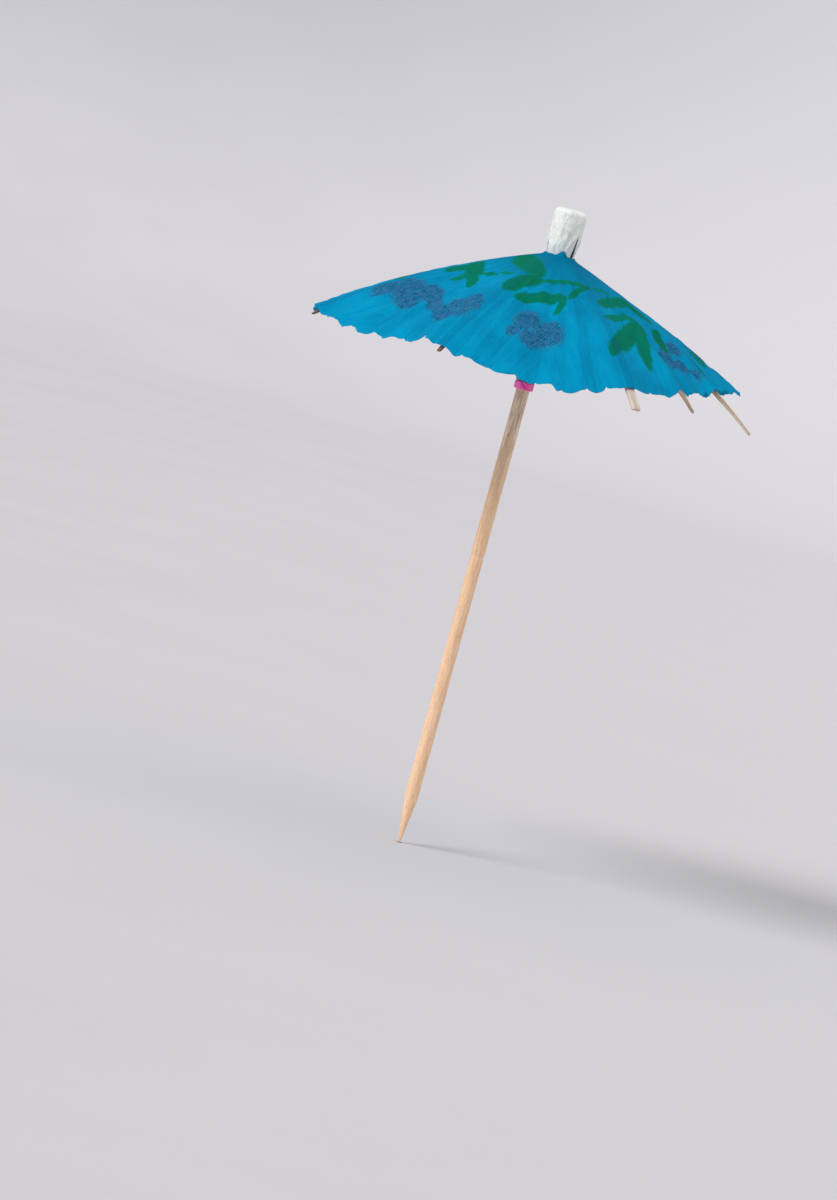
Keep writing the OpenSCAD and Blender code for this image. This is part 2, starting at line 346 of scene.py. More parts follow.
def wood(name, pale, dark, along=(0.5, 0.5, 0.03), spots=0.5, warm=None, grain=9, strip=False, tip=None):
    """Split wood with long streaks, pores and dark flecks. A strip's grain follows its UV.

    warm is the colour of the part below the canopy, tip that of a strip's end.
    """
    def build(t):
        uv = uv_layer(t, "grain") if strip else None
        long = mapping(t, uv, Scale=(GRAIN_SPAN, 4, 1)) if strip else millimetres(t, along)
        streak = noise_at(t, long, grain, detail=5, roughness=0.65, distortion=0.4)
        fine = noise_at(t, long, grain * 4, roughness=0.6)
        flecks = noise_at(t, millimetres(t, (1.2, 1.2, 0.5)), 2.2, detail=2)
        pores = noise_at(t, millimetres(t, (2.4, 2.4, 1.1)), 2, detail=2, roughness=0.7)
        fleck_colour = tuple(0.45 * c for c in srgb(*dark)[:3]) + (1,)
        colour = tinted(t, srgb(*dark), (pale, streak, 0.32, 0.7), (dark, fine, 0.62, 0.75, 0, 0.35))
        colour = mixed(t, band(t, flecks, 0.66, 0.74, 0, spots), colour, fleck_colour)
        colour = tinted(t, colour, (dark, pores, 0.56, 0.66, 0, 0.6 * spots),
                        ((246, 230, 208), pores, 0.42, 0.34, 0, 0.6 * spots))
        if warm:
            colour = tinted(t, colour, (warm, xyz(t, millimetres(t))[2], 54, 63, 0.55, 0))
        if tip:
            colour = tinted(t, colour, (tip, xyz(t, uv)[1], 2.5 / GRAIN_SPAN, 7 / GRAIN_SPAN, 0.85, 0))
        relief = calc(t, "ADD", streak, times(t, fine, 0.6))
        return glossed(t, colour, band(t, streak, 0.2, 0.8, 0.72, 0.55), relief, 0.5, 0.00008, 0.3)
    return surface(build, name)


def strip_wood(name, pale, dark, spots=0.4, tip=None):
    return wood(name, pale, dark, grain=1.6, spots=spots, strip=True, tip=tip)


@surface
def thread_cotton(t):
    """Undyed cotton thread."""
    fibre = noise_at(t, millimetres(t), 18)
    colour = tinted(t, srgb(206, 198, 180), ((240, 236, 226), fibre, 0.3, 0.7))
    return glossed(t, colour, 0.85, fibre, 0.5, 0.00003, 0.2)


@surface
def cap_paper(t):
    """White crepe paper with upright fibres; painted shade in the slit of its overlap at its right, and in a shorter
    one at its left; a painted reflection of the blue paper at its foot.
    """
    co = millimetres(t)
    z = xyz(t, co)[2]
    fibre = noise_at(t, millimetres(t, (2.6, 2.6, 0.45)), 1.8, detail=4, roughness=0.6)
    # Its last tint is a painted reflection of the blue paper, bluer towards the foot.
    colour = tinted(t, srgb(236, 239, 235), ((247, 247, 243), noise_at(t, co, 0.55), 0.35, 0.65),
                    ((212, 218, 214), fibre, 0.54, 0.7, 0, 0.35), ((188, 206, 214), z, 90.1, 91.6, 0.35, 0))
    # Painted shade in the slit of the overlap: a dark line at each seam's angle, wider at the foot, the left one
    # shorter and fainter.
    for seam, top, strong in ((CAP_SEAM, 93.8, 0.97), (math.radians(-172), 92.4, 0.7)):
        spun = put(t, "VectorRotate", {"Vector": co, "Angle": -seam}, rotation_type="Z_AXIS").outputs[0]
        out, aside, _ = xyz(t, spun)
        off = calc(t, "DIVIDE", calc(t, "ABSOLUTE", aside), band(t, z, 90.2, top, 0.3, 0.07))
        line = times(t, band(t, off, 1.1, 0.6), band(t, out, 0.5, 1))
        line = times(t, line, band(t, z, top, top - 0.9, 0, strong))
        colour = mixed(t, line, colour, srgb(44, 58, 66))

    def crease(scale, level):
        wander = noise_at(t, millimetres(t, scale), 1, roughness=0.6)
        return band(t, calc(t, "ABSOLUTE", calc(t, "SUBTRACT", wander, level)), 0.03, 0)

    creases_and_shade = largest(t, [crease((1.3, 1.3, 0.5), 0.5), crease((1, 1, 1.5), 0.46)])
    # Painted shade along the creases; the same lines also dent the bump.
    colour = mixed(t, times(t, creases_and_shade, 0.16), colour, srgb(166, 176, 176))
    relief = calc(t, "ADD", times(t, fibre, 1.1), times(t, noise_at(t, co, 7), 0.3))
    relief = calc(t, "SUBTRACT", relief, times(t, creases_and_shade, 0.3))
    return lit_through(t, 0.2, glossed(t, colour, 0.7, relief, 0.6, 0.0002, 0.25), colour)


@surface
def sleeve_paper(t):
    """Rolled waste paper: olive grey, fibrous, darker along its cut rim."""
    co = millimetres(t)
    fibre = noise_at(t, millimetres(t, (1, 1, 0.35)), 3.2, detail=5, roughness=0.65)
    colour = tinted(t, srgb(104, 98, 76), ((150, 142, 112), fibre, 0.3, 0.7),
                    ((74, 68, 54), noise_at(t, co, 6, detail=2), 0.62, 0.7, 0, 0.6),
                    ((66, 60, 48), xyz(t, co)[2], 69.35, 69.75, 0.6, 0))
    return glossed(t, colour, 0.85, fibre, 0.6, 0.00012, 0.2)


@surface
def ring_plastic(t):
    """Soft pink plastic, a little cloudy, with fine moulding ripples, and painted shade towards its right side."""
    co = millimetres(t)
    cloud = noise_at(t, co, 0.8, detail=2)
    ripple = noise_at(t, millimetres(t, (0.6, 0.6, 3)), 2, detail=2)
    # The second pink is painted shade, deeper towards the ring's right side.
    colour = tinted(t, srgb(255, 84, 182), ((252, 44, 146), xyz(t, co)[0], -0.5, 0.9),
                    ((255, 128, 200), cloud, 0.35, 0.7, 0, 0.25))
    return glossed(t, colour, band(t, cloud, 0.3, 0.7, 0.22, 0.34), ripple, 0.25, 0.0001,
                   Subsurface_Weight=0.12, Subsurface_Radius=(0.001, 0.0004, 0.0005), Subsurface_Scale=0.5,
                   Coat_Weight=0.3)


pick_wood = wood("pick_wood", (242, 217, 192), (190, 152, 120), warm=(226, 180, 138), spots=0.8)
hub_wood = wood("hub_wood", (212, 184, 148), (164, 130, 92), along=(0.7, 0.7, 0.07), grain=4, spots=0.4)
strut_wood = strip_wood("strut_wood", (204, 184, 158), (150, 122, 94))
rib_wood = strip_wood("rib_wood", (206, 188, 166), (142, 112, 86))
rib_dark = strip_wood("rib_dark", (196, 174, 150), (132, 102, 78), tip=(92, 62, 48))
rib_pale = strip_wood("rib_pale", (208, 196, 186), (170, 152, 138), spots=0.3)

# Leaves and stems of the print on the flat paper's front half: x and y of both ends, width, bend, tone
LEAVES = (
    (-11.9, -6.3, -17, -6, 2.6, 0.1, 0.8), (-12.1, -8.6, -15.6, -10.8, 1.9, 0.1, 0.6),
    (-12.5, -7.8, -11.9, -15, 1.9, 0.1, 0.7), (-12.3, -8.4, -8.6, -11, 1.6, -0.1, 0.6),
    (-12.4, -10.2, -12.4, -3.4, 3.2, 0.1, 0.8), (-2.5, -11.6, -6.2, -1.2, 4.6, 0.06, 0.8),
    (-1.8, -10.8, -7.6, -17, 3.6, -0.12, 0.9), (2.7, -14.6, -5.2, -19, 3, 0.05, 0.8),
    (-2.4, -11.6, 6.4, -8.9, 1.4, 0.2, 0.7), (5.6, -8.8, 2.9, -14.8, 1.4, -0.1, 0.8),
    (2.8, -14, 1.8, -19.8, 1.1, 0.1, 0.6), (6.2, -9, 9.4, -5.6, 1, -0.1, 0.35), (-8.4, -10, -6, -11.2, 1.2, 0, 0.3),
    (8, -13.6, 12.4, -2.8, 2.5, -0.06, 0.7), (10.6, -4.6, 17.2, -3.7, 2.2, 0.06, 0.8),
    (9.6, -16.6, 13.2, -9.8, 1.6, -0.15, 0.5), (12.3, -10.4, 15.8, -11, 2.8, -0.1, 0.6),
    (14.7, -11.4, 12, -24.6, 3.3, 0.08, 0.8), (12, -19.8, 12, -25.2, 2, 0.05, 1),
    (14.9, -10, 17.6, -22.4, 2.8, -0.1, 0.7), (17.3, -5.2, 19.6, -12.6, 2.8, -0.1, 1),
    (24, -3, 27.2, -5.4, 1.6, 0, 0.7), (-22.2, -4.6, -27.2, -2.4, 2.8, -0.2, 0.5),
)
# Blossoms of the print: centre, half length and half width, turn in degrees
DABS = (
    (-24.9, -9.2, 3.4, 2.6, -66), (-21.4, -11.2, 5.6, 3, -71), (-21.2, -15.4, 3.2, 2.1, -62),
    (-17.9, -14.2, 4.4, 2.2, -69), (-16.8, -18.4, 4, 1.6, -80), (-15, -22.6, 3.2, 2, -71),
    (-12.8, -22, 4.2, 2.6, -85), (-11, -20.8, 3.8, 1.6, -79), (-2.2, -23.2, 2.9, 2.5, 64),
    (1.6, -24.4, 3.6, 2.9, 85), (-4, -26, 1.7, 1.3, 65), (-1, -26.4, 2.6, 2.3, 85), (21, -7.6, 4, 1.7, 76),
    (20, -13.2, 3, 1.3, 81), (22.6, -12.4, 4.2, 1.5, 58), (25.2, -9, 2.6, 1.2, 58),
)
# Paler centres of the blossoms
HOLES = (
    (-1.4, -25, 0.8, 0.7, 0), (-12.9, -22.6, 0.8, 0.6, 0), (-19.8, -12.8, 0.8, 0.6, 0), (21.2, -11.6, 1, 0.6, 60),
)


def print_group():
    """The paper's print as a node group: leaf mask, leaf tone and blossom density from the print UV."""
    g = bpy.data.node_groups.new("print", "ShaderNodeTree")
    for label in ("Leaf", "Tone", "Blossom"):
        g.interface.new_socket(name=label, in_out="OUTPUT", socket_type="NodeSocketFloat")
    flat = mapping(g, uv_layer(g, "print"), Location=(-PRINT_SPAN / 2, -PRINT_SPAN / 2, 0),
                   Scale=(PRINT_SPAN, PRINT_SPAN, 1))
    warp = put(g, "TexNoise", {"Vector": flat, "Scale": 0.7, "Detail": 2.0}).outputs[1]
    shift = put(g, "VectorMath", {0: warp, 1: (0.5, 0.5, 0.5)}, operation="SUBTRACT").outputs[0]
    shift = put(g, "VectorMath", {0: shift, "Scale": 0.85}, operation="SCALE").outputs[0]
    x, y, _ = xyz(g, put(g, "VectorMath", {0: flat, 1: shift}, operation="ADD").outputs[0])
    # The far half repeats the front half, turned by half a turn
    sign = calc(g, "SUBTRACT", times(g, calc(g, "LESS_THAN", y, 0), 2), 1)
    place = put(g, "CombineXYZ", {0: times(g, x, sign), 1: times(g, y, sign)}).outputs[0]

    def local(x, y, turn, half_long, half_wide):
        """The place in a shape's own frame, in units of its half length and half width."""
        return mapping(g, place, "TEXTURE", Location=(x, y, 0), Rotation=(0, 0, turn), Scale=(half_long, half_wide, 1))

    def blade(ax, ay, bx, by, width, bend):
        """A leaf from one end to the other: under 1 inside it."""
        length = math.hypot(bx - ax, by - ay)
        x, y, _ = xyz(g, local((ax + bx) / 2, (ay + by) / 2, math.atan2(by - ay, bx - ax), length / 2, width / 2))
        squared = times(g, x, x)
        across = calc(g, "ABSOLUTE", calc(g, "MULTIPLY_ADD", squared, bend * length / width, y))
        return calc(g, "ADD", times(g, squared, squared), calc(g, "POWER", across, 1.4))

    def spot(x, y, half_long, half_wide, turn):
        """An oval: 1 at its centre, 0 at its rim."""
        out = put(g, "VectorMath", {0: local(x, y, math.radians(turn), half_long, half_wide)}, operation="LENGTH")
        return calc(g, "SUBTRACT", 1, out.outputs["Value"])

    inside = [band(g, blade(*leaf[:-1]), 1.2, 0.62) for leaf in LEAVES]
    tones = [times(g, part, leaf[-1]) for part, leaf in zip(inside, LEAVES)]
    dots = largest(g, [spot(*dab) for dab in DABS])
    for hole in HOLES:
        dots = calc(g, "MINIMUM", dots, calc(g, "MULTIPLY_ADD", spot(*hole), -0.3, 0.36))
    out = g.nodes.new("NodeGroupOutput")
    for i, value in enumerate((largest(g, inside), largest(g, tones), dots)):
        g.links.new(value, out.inputs[i])
    return g


PRINT = print_group()


def tissue(name, strength, faded):
    """Printed blue tissue paper; strength is how much of the print shows, faded how far its colours are paler."""
    def build(t):
        leaf, tone, blossom = put(t, "Group", node_tree=PRINT).outputs
        flat = mapping(t, uv_layer(t, "print"), Scale=(PRINT_SPAN, PRINT_SPAN, 1))
        gore = uv_layer(t, "gore")
        across, along, _ = xyz(t, gore)
        cloud = noise_at(t, flat, 0.12, detail=2)
        grit = noise_at(t, flat, 3.8, detail=2, roughness=0.7)
        mottle = noise_at(t, flat, 1.1, detail=4, roughness=0.6)
        fibre = noise_at(t, flat, 9, roughness=0.6)
        streak = noise_at(t, mapping(t, gore, Scale=(34, 3.2, 1)), 1, roughness=0.6)
        waves = {"Scale": 0.62, "Distortion": 2.6, "Detail": 2, "Detail Scale": 1.6}
        hatch = largest(t, [put(t, "TexWave", {"Vector": mapping(t, flat, Rotation=(0, 0, turn)), **waves}).outputs[1]
                            for turn in (0.5, -0.75)])
        # The ground's last tint is painted shade, a darker blue towards the crown.
        ground = tinted(
            t, srgb(0, 142, 184), ((0, 156, 198), cloud, 0.35, 0.65), ((0, 122, 172), mottle, 0.35, 0.7, 0, 0.16),
            ((0, 120, 172), streak, 0.5, 0.72, 0, 0.3), ((0, 174, 216), streak, 0.46, 0.28, 0, 0.22),
            ((0, 112, 150), along, 0.46, 0.08, 0, 0.7))
        leaf_colour = mixed(t, tone, srgb(0, 140, 122), srgb(0, 114, 80))
        leaf_colour = tinted(t, leaf_colour, ((0, 132, 118), mottle, 0.42, 0.6, 0, 0.3))
        leafy = times(t, leaf, band(t, grit, 0.2, 0.5, 0.8, 1))
        colour = mixed(t, times(t, leafy, strength), ground, leaf_colour)
        full = band(t, blossom, -0.04, 0.4, -0.1, 0.1)
        grains = calc(t, "ADD", calc(t, "ADD", grit, full), calc(t, "MULTIPLY_ADD", hatch, 0.16, -0.11))
        inked = times(t, band(t, grains, 0.47, 0.61, 0.04, 0.82), band(t, blossom, -0.03, 0.12))
        inked = times(t, inked, calc(t, "SUBTRACT", 1, leaf, clamp=True))
        ink = tinted(t, srgb(66, 90, 134), ((24, 66, 110), mottle, 0.35, 0.65))
        colour = mixed(t, times(t, inked, strength), colour, ink)
        # Painted shadow of the rib seen through the paper: a darker band along it, stronger further out.
        off = calc(t, "ABSOLUTE", calc(t, "SUBTRACT", across, 0.5))
        painted_rib_shadow = band(t, off, 1.04 / GORE_WIDE, 0.68 / GORE_WIDE)
        colour = mixed(t, times(t, painted_rib_shadow, band(t, along, 0.25, 0.8, 0.10, 0.26)), colour, srgb(0, 92, 140))
        if faded:
            colour = mixed(t, faded, colour, srgb(60, 178, 214))
        relief = calc(t, "MULTIPLY_ADD", streak, 2.2, calc(t, "ADD", mottle, times(t, fibre, 0.3)))
        return lit_through(t, 0.3, glossed(t, colour, 0.75, relief, 0.7, 0.00018, 0.03), colour)
    return surface(build, name)


tissue_front = tissue("tissue_front", 1, 0)
tissue_back = tissue("tissue_back", 0.45, 0.25)


def print_uv(points):
    return points[:, :2] / PRINT_SPAN + 0.5


# ---- canopy
CANOPY_R = 36.2
GORE_T = 0.2
PAPER_R = BOW_R + RIB_T / 2 + GORE_T
# The sheet's thickness, and how far its middle lies above PAPER_R's arc
SHEET_T, PAPER_MID = 0.1, 0.1
# As shares of CANOPY_R: the paper's reach at each rib, and in each gap how far its rim is drawn in and how high it
# billows up
REACH = (0.84, 0.92, 0.965, 1, 1, 0.99, 0.94)
DRAW = (-0.115, 0.024, 0.024, 0.024, 0.05, 0.015, 0.024)
BILLOW = (0.17, 0.05, 0.04, 0.055, 0, 0, 0.067)
# The gap at the right, whose paper stands highest and reaches furthest out
HIGH_GAP = 0
SCALLOPS, SCALLOP_D = 8, 0.62
# Half width of the paper glued on a rib, and the radius at which its angle is taken at the rim
STRIP_W, STRIP_R = 0.85, 35
# Dice for the random pleats and cut waves of each gap
dice = random.Random(11)


def gap_plan():
    """Random pleats and cut waves of the gap between a rib and the next, along s from 0 to 1."""
    knots, heights = [0.0, 0.035], [0.0, 0.0]
    for i in range(10):
        s = 0.06 + (i + 0.5 + dice.uniform(-0.3, 0.3)) * 0.088
        knots.append(s)
        heights.append((1 if i % 2 else -1) * dice.uniform(0.1, 0.62) + dice.uniform(-0.12, 0.12))
    knots += [0.965, 1.0]
    heights += [0.0, 0.0]
    cuts = [i / SCALLOPS + (0 if i % 4 == 0 else dice.uniform(-0.022, 0.022)) for i in range(SCALLOPS + 1)]
    deep = [dice.uniform(0.6, 1.25) for _ in range(SCALLOPS + 1)]
    deep[0] = deep[SCALLOPS] = 0.5
    swing = [dice.uniform(-0.28, 0.28) for _ in range(SCALLOPS)]
    return knots, heights, cuts, deep, swing


PLANS = [gap_plan() for _ in range(RIBS)]
# A torn notch beside rib_6, and the step in the rim at the front fold
PLANS[4][3][7] = 2.7
STEP_GAP, STEP_OUT = 5, 0.9


def clamped(x):
    return min(max(x, 0), 1)


def edge_radius(k, t):
    """How far out the paper of rib k reaches at t, from -1 to 1 across its gore, with its cut waves."""
    side = 1 if t > 0 else -1
    gap = k if t > 0 else (k - 1) % RIBS
    own, other = REACH[k], REACH[(k + side) % RIBS]
    part = (1 - math.cos(abs(t) * math.pi / 2)) / 2
    drawn = 1 - DRAW[gap] * (t**2 if gap == HIGH_GAP else 1 - (1 - abs(t)) ** 2)
    s = t / 2 if t > 0 else 1 + t / 2
    _, _, cuts, deep, _ = PLANS[gap]
    i = min(max(sum(1 for c in cuts if c <= s) - 1, 0), SCALLOPS - 1)
    u = clamped((s - cuts[i]) / (cuts[i + 1] - cuts[i]))
    lobe = math.sqrt(max(0, 1 - (2 * u - 1) ** 2))
    notch = SCALLOP_D * (deep[i] * (1 - u) + deep[i + 1] * u)
    step = STEP_OUT * clamped((0.95 - s) / 0.2) * clamped((s - 0.58) / 0.03) if gap == STEP_GAP else 0
    return CANOPY_R * (own + (other - own) * part) * drawn - notch * (1 - lobe) + step


def canopy_height(k, r, a, edge):
    """Height of the sheet's middle at radius r and angle a from rib k, before its crumples, and how free it is."""
    t = a / HALF_GORE
    gap = np.where(t > 0, k, (k - 1) % RIBS)
    beside = np.maximum(0, np.abs(a) - np.arcsin(STRIP_W / r))
    along = r * np.cos(HALF_GORE - beside) / math.cos(HALF_GORE)
    z = ARC_Z + np.sqrt(PAPER_R**2 - (along - ARC_X) ** 2)
    z = z + CANOPY_R * np.array(BILLOW)[gap] * (r / CANOPY_R) ** 2 * np.sin(t * math.pi / 2) ** 2
    s = np.where(t > 0, t / 2, 1 + t / 2)
    free = smooth((np.abs(t) * r * HALF_GORE - 0.9) / 1.6)
    far = r / CANOPY_R
    z = z - 0.5 * far**1.4 * np.exp(-(1 - np.abs(t)) * r * HALF_GORE / 0.9) * smooth(r / 8)
    for g in {k, (k - 1) % RIBS}:
        knots, heights, cuts, _, swing = PLANS[g]
        here = gap == g
        z = z + here * free * np.interp(s, knots, heights) * far**1.15 * smooth((r - 3) / 9)
        for i, push in enumerate(swing):
            u = (s - cuts[i]) / (cuts[i + 1] - cuts[i])
            inside = here * (u >= 0) * (u <= 1)
            z = z + inside * free * push * smooth((r - edge + 4) / 4) * np.sin(np.clip(u, 0, 1) * math.pi) ** 2
    return z, free


def canopy_top(k, r, a):
    """Height of the paper's upper face near the crown."""
    return canopy_height(k, r, a, CANOPY_R)[0] + PAPER_MID + SHEET_T / 2


def canopy_piece(k, side, ring, cols, others=()):
    """The paper of rib k: the strip glued on it (side 0), or one ring of what is between it and a gap's middle."""
    inner, outer, keep, high_keep, label, rows = ring
    across = np.linspace(0 if side else -1, 1, cols + 1)

    def columns(strip):
        """Angle of each column from the rib, where the glued strip's half width takes the angle strip."""
        return side * (strip + (HALF_GORE - strip) * across) if side else strip * across

    edge = np.array([edge_radius(k, q / HALF_GORE) for q in columns(math.asin(STRIP_W / STRIP_R))])
    reach = edge if outer is None else np.full_like(edge, outer)
    r = inner + (reach - inner) * np.linspace(0, 1, rows + 1)[:, None]
    a = columns(np.arcsin(STRIP_W / r))
    z, free = canopy_height(k, r, a, edge)
    world = turned(polar(r, a, z), k)
    flat = world.reshape(-1, 3)
    lumps = 0.14 * rough(flat, 3.6, 3) + 0.15 * crumple(flat, 2.6, 5) + 0.03 * rough(flat, 0.8, 8)
    grow = smooth((flat[:, 0] ** 2 + flat[:, 1] ** 2) / 400 + 0.1)
    world[..., 2] += (lumps * grow * (0.12 + 0.88 * free.ravel()) + PAPER_MID).reshape(r.shape)
    half_t = (0, 0, SHEET_T / 2)
    points = np.vstack([(world + half_t).reshape(-1, 3), (world - half_t).reshape(-1, 3)])
    n, m = r.shape
    layer, quads, back = n * m, rows * cols, side < 0
    faces = grid_faces(n, m, flip=not back) + grid_faces(n, m, start=layer, flip=back)
    ids = np.arange(layer).reshape(n, m)
    rim = np.concatenate([ids[:, 0], ids[-1, 1:], ids[-2::-1, -1], ids[0, -2:0:-1]]).tolist()
    faces += [(q, q + layer, p + layer, p) if back else (p, p + layer, q + layer, q)
              for p, q in zip(rim, rim[1:] + rim[:1])]
    gore = np.stack([(r * np.sin(a) / GORE_WIDE + 0.5).ravel(), (r / GORE_LONG).ravel()], axis=1)
    uvs = {"print": print_uv(points), "gore": np.tile(gore, (2, 1))}
    name = {0: "canopy_strip", 1: "canopy_left", -1: "canopy_right"}[side] + f"{label}_{k + 1}"
    obj = new_object(name, points, faces, [tissue_front, tissue_back], f"rib_{k + 1}", "canopy_paper",
                     face_mats=[0] * quads + [1] * quads + [0] * len(rim), uvs=uvs)
    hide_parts(f"canopy_gore_{k + 1}")
    if side == 0:
        return obj
    if outer is None:
        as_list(others)
    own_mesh(obj)
    return obj


# The paper's rings: inner and outer radius, share of the width kept when folded, in most gaps and in HIGH_GAP, ending
# of the name, rows of faces
GORE_IN_R = 2.38
PAPER_RINGS = ((GORE_IN_R, 4.2, 0.8, 0.8, "_crown", 7), (4.2, 7.5, 0.42, 0.46, "_neck", 10),
               (7.5, 14.0, 0.23, 0.3, "_waist", 16), (14.0, None, 0.125, 0.2, "", 62))
for k in range(RIBS):
    glued = canopy_piece(k, 0, (GORE_IN_R, None, 1, 1, "", 90), 6)
    for side, others in ((1, [glued]), (-1, [])):
        for ring in PAPER_RINGS:
            others = others + [canopy_piece(k, side, ring, 60, others)]


# ---- pick
def make_pick():
    """An uneven round pick with a whittled point, its rows closer at the point, the score and the top."""
    a = circle(72)
    levels = np.concatenate([
        np.linspace(-POINT_L, 1.2, 34), np.linspace(1.6, 39.6, 70), np.linspace(39.75, 41.05, 14),
        np.linspace(41.5, PICK_TOP - 0.25, 90), [PICK_TOP - 0.1, PICK_TOP]])
    rows = []
    for z in levels:
        shoulder = 0.55 * np.sin(2 * a + 1) + 0.3 * np.sin(5 * a)
        cone = POINT_R + (PICK_R - POINT_R) * np.clip((z + POINT_L) / (POINT_L + shoulder), 0, 1)
        facet = 0.03 * np.cos(6 * a + 0.7) * smooth(-z / 2) * (z > -POINT_L + 0.6)
        r = np.minimum(cone, PICK_R) + facet
        r = r - SCORE_D * smooth(1.1 - abs(z - SCORE_Z) / SCORE_W)
        r = r - (0.012 + 0.014 * smooth((40 - z) / 6)) * (1 + rough(polar(2, a, z / 14), 0.9, 2))
        if z > PICK_TOP - 0.2:
            r = r - 0.1 * (z - PICK_TOP + 0.2) / 0.2
        rows.append(polar(r, a, z))
    obj = new_object("pick_shaft_wood", *lathe(rows), [pick_wood], "stick", "pick_wood", sharp=40)
    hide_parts("pick")


make_pick()

# ---- cap and collar
CAP_Z, CAP_H, CAP_T = 89.88, 7.7, 0.2
CAP_FOOT_R, CAP_FLARE = 2.22, 0.4
# Share of the cap's height at which its side turns in to its top
CAP_SHOULDER = 0.88


def make_cap():
    """A hollow cap of creased paper with an uneven foot, an overlap seam and a domed, pleated top."""
    a = circle(160)

    def side(share):
        """Radius and height of the outside ring at a share of the cap's height, 0 to 1."""
        z = CAP_Z + CAP_H * share
        p = polar(2.4, a, z * 0.35)
        folds = 0.22 * crumple(p, 1.15, 4) + 0.09 * crumple(p, 0.5, 9)
        swell = 0.3 * math.sin(min(share / 0.6, 1) * math.pi / 2)
        r = CAP_FOOT_R - 0.05 + swell + folds * (0.3 + 0.7 * smooth(share * 2.5))
        r = r - 0.17 * near(math.radians(-62), 0.55, a) * smooth(share * 2.2) - 0.1 * near(math.radians(150), 0.6, a)
        r = r + 0.10 * near(math.radians(-90) - 0.42, 0.4, a) * smooth(share * 3)
        r = r - 0.2 * near(CAP_SEAM, 0.1, a) * smooth(2.2 - 4 * share)
        r = r + 0.08 * near(CAP_SEAM + 0.15, 0.12, a) * smooth(2.2 - 3 * share)
        return np.minimum(r, CAP_FOOT_R + CAP_FLARE + 0.04), z

    foot_wave = 0.16 * np.abs(np.sin(a * 1.5 + 0.6)) + 0.5 * near(math.radians(-80), 0.4, a)
    foot_wave = foot_wave + 0.2 * near(CAP_SEAM, 0.08, a)
    outer, inner = [], []
    for share in np.linspace(0, CAP_SHOULDER, 44):
        r, z = side(share)
        z = z + foot_wave * smooth(1 - share * 6)
        outer.append(polar(r, a, z))
        inner.append(polar(np.maximum(r - CAP_T * 0.6, 2.02), a, z))
    rim, z = side(CAP_SHOULDER)
    for q in np.linspace(0.06, 1, 18):
        bend = math.sin(q * math.pi / 2)
        left = 1 - q
        r = rim * (0.05 + 0.95 * math.cos(q**1.15 * math.pi / 2) ** 0.8)
        p = polar(r, a, 3.0)
        pleat = 0.07 * np.cos(a * 11 + 4 * rough(p, 2.0, 6)) * left**0.5 + 0.10 * crumple(p, 1.3, 7)
        dome = z + 0.86 * bend + pleat * (1 - left) * 1.1
        corner = 0.22 * near(math.radians(-150), 0.8, a) * bend * left**0.5
        outer.append(polar(r, a, np.minimum(dome + corner, CAP_Z + CAP_H + 0.02)))
        inner.append(polar(np.maximum(r - CAP_T * 0.6, 0.03), a, dome - CAP_T * 0.7))
    obj = new_object("cap_twist", *lathe(inner[::-1] + outer), [cap_paper], "stick", "cap_paper", sharp=70)
    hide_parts("cap")


make_cap()


def make_collar():
    """The gathered middle of the paper: up inside the cap, down its foot, and out over the canopy's rim in peaks."""
    a = circle(140)
    peak = 0.10
    for high, centre, width in ((0.78, -80, 27), (0.06, -168, 26), (0.1, -14, 18), (0.5, 70, 30), (0.4, 135, 24)):
        peak = peak + high * near(math.radians(centre), math.radians(width), a)
    peak = peak + 0.05 * np.sin(a * 7 + 1) ** 2
    crimp = 0.03 * np.sin(a * 17 + 1)

    def on_canopy(radius):
        """Height of the canopy's upper face under each column at one radius."""
        high = np.empty(len(a))
        for j, q in enumerate(a):
            k = round((q - FIRST_RIB) / (2 * HALF_GORE))
            off = q - FIRST_RIB - k * 2 * HALF_GORE
            high[j] = canopy_top(k % RIBS, np.array([radius]), np.array([off]))[0]
        return high

    path = [
        (1.82 + crimp, 91.8), (1.82 + crimp, 90.9), (1.82 + crimp, 89.95), (1.95 + crimp, 89.74), (2.2, 89.70),
        (2.34, 89.84), (2.35 + 0.02 * peak, 89.88 + 0.5 * peak), (2.38 + 0.05 * peak, 89.9 + peak),
        (2.46 + 0.05 * peak, 89.9 + 0.94 * peak), (2.62, on_canopy(2.62) + 0.06 + 0.42 * peak),
        (2.78 + crimp, on_canopy(2.78) + 0.05 + 0.05 * peak), (2.96 + crimp * 2, on_canopy(2.96) + 0.02),
    ]
    upper = [polar(r, a, z) for r, z in path]
    t, radial = 0.07, polar(1, a, 0)
    shifts = [-radial * t] * 3 + [(0, 0, -t)] * 3 + [radial * t * 0.6 - (0, 0, 0.08)] * 2 + [(0, 0, -t * 0.7)] * 4
    lower = [ring + shift for ring, shift in zip(upper, shifts)]
    points, faces = lathe(upper + lower[::-1], close="loop")
    # The gather takes the look of a gore's paper at one spot near the crown, with the crown's painted shade
    uvs = {"print": print_uv(points), "gore": np.full((len(points), 2), (0.9, 0.05))}
    obj = new_object("canopy_gather", points, faces, [tissue_front], "stick", "canopy_paper", uvs=uvs, sharp=80)
    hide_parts("canopy_collar")


make_collar()

# ---- threads
THREAD_R, RUNNER_THREAD_R = 0.088, 1.59


